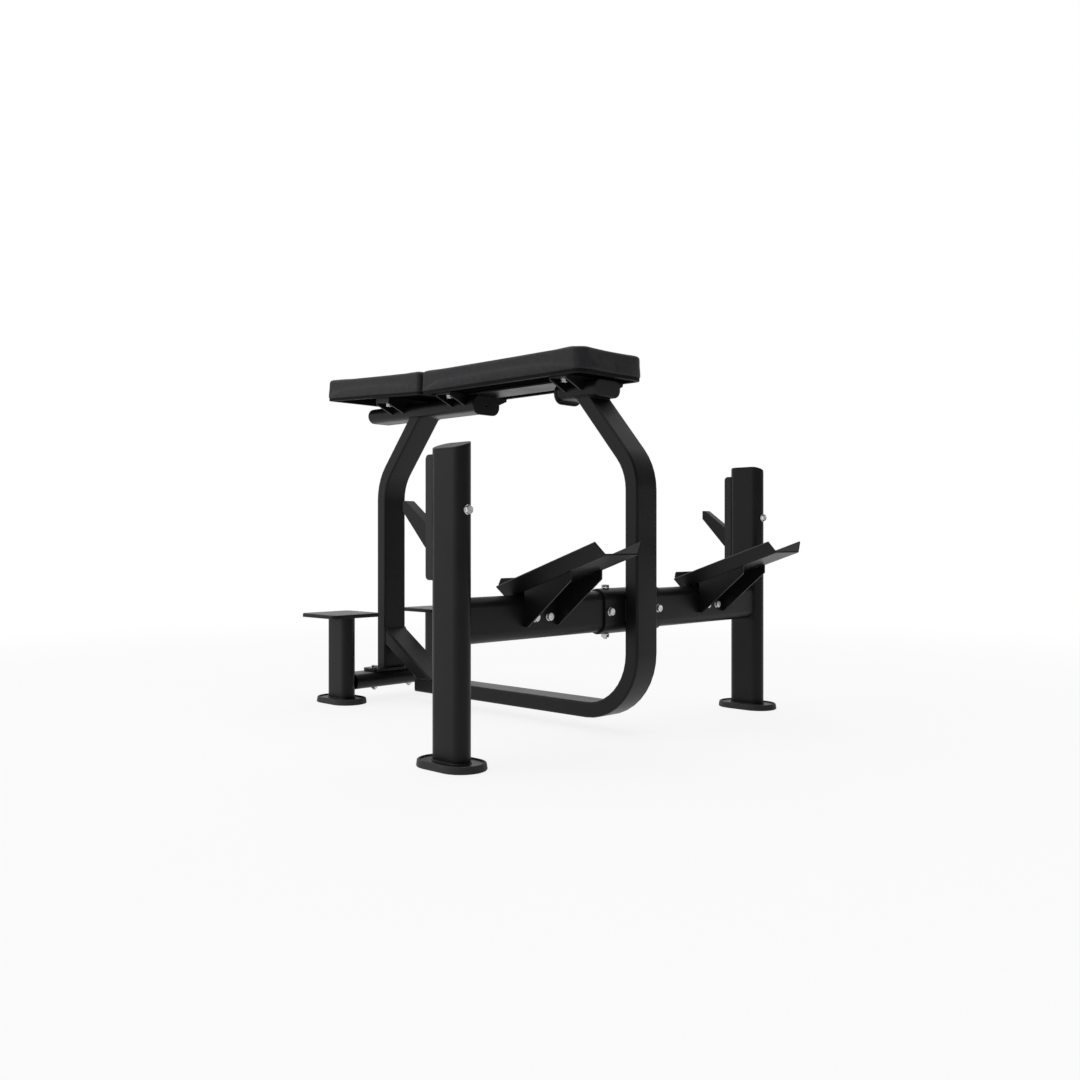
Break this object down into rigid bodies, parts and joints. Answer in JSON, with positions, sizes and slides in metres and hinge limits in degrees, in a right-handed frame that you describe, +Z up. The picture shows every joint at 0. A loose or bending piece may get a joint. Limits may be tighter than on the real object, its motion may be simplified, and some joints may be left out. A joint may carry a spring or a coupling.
{
  "type": "prone row bench",
  "caption": "Prone row bench: split padded top on an open bent-tube frame, set between uprights with bar hooks, with sloped trays on the cross beam and steps at the rear end.",
  "frame": {"origin": "on the floor, under the middle of the object's box", "axes": "+X along the bench from the steps at its rear to the uprights and trays at its front, +Y across it towards the far upright, +Z up"},
  "size_m": [1.3556, 1.238, 0.9758],
  "materials": {
    "powder_coat": "satin black powder coat on welded steel",
    "rubber": "moulded black rubber",
    "plastic": "moulded black plastic",
    "vinyl": "black grained upholstery vinyl over foam",
    "board": "plywood pad board with a black backing",
    "zinc": "bright zinc-plated fasteners"
  },
  "bodies": {
    "root": {"near_upright": "powder_coat", "far_upright": "powder_coat", "near_upright_foot": "rubber", "far_upright_foot": "rubber", "near_upright_cap": "plastic", "far_upright_cap": "plastic", "near_bar_guard": "plastic", "far_bar_guard": "plastic", "near_bar_hook": "powder_coat", "far_bar_hook": "powder_coat", "near_guard_bolt": "zinc", "far_guard_bolt": "zinc", "cross_beam": "powder_coat", "beam_saddle": "powder_coat", "near_saddle_face_bolt": "zinc", "far_saddle_face_bolt": "zinc", "near_saddle_crown_bolt": "zinc", "far_saddle_crown_bolt": "zinc", "near_tray": "powder_coat", "far_tray": "powder_coat", "near_tray_bracket": "powder_coat", "far_tray_bracket": "powder_coat", "near_tray_bolt_a": "zinc", "near_tray_bolt_b": "zinc", "far_tray_bolt_a": "zinc", "far_tray_bolt_b": "zinc", "front_frame_tube": "powder_coat", "rear_frame_tube": "powder_coat", "diagonal_brace": "powder_coat", "lower_tube_plug": "plastic", "base_cross_tube": "powder_coat", "rear_tube_flange": "powder_coat", "near_flange_bolt": "zinc", "far_flange_bolt": "zinc", "near_step_post": "powder_coat", "far_step_post": "powder_coat", "near_step_foot": "rubber", "far_step_foot": "rubber", "near_step_plate": "powder_coat", "far_step_plate": "powder_coat", "rear_rail": "powder_coat", "rear_rail_end_plate": "powder_coat", "rear_rail_cap": "plastic", "front_rail": "powder_coat", "front_rail_end_plate": "powder_coat", "front_rail_cap": "plastic", "tie_plate": "powder_coat", "short_pad_bracket": "powder_coat", "long_pad_rear_bracket": "powder_coat", "long_pad_front_bracket": "powder_coat", "short_pad_bracket_near_bolt": "zinc", "short_pad_bracket_far_bolt": "zinc", "long_pad_rear_bracket_near_bolt": "zinc", "long_pad_rear_bracket_far_bolt": "zinc", "long_pad_front_bracket_near_bolt": "zinc", "long_pad_front_bracket_far_bolt": "zinc", "long_pad_board": "board", "short_pad_board": "board", "long_pad_cushion": "vinyl", "short_pad_cushion": "vinyl"}
  },
  "joints": []
}
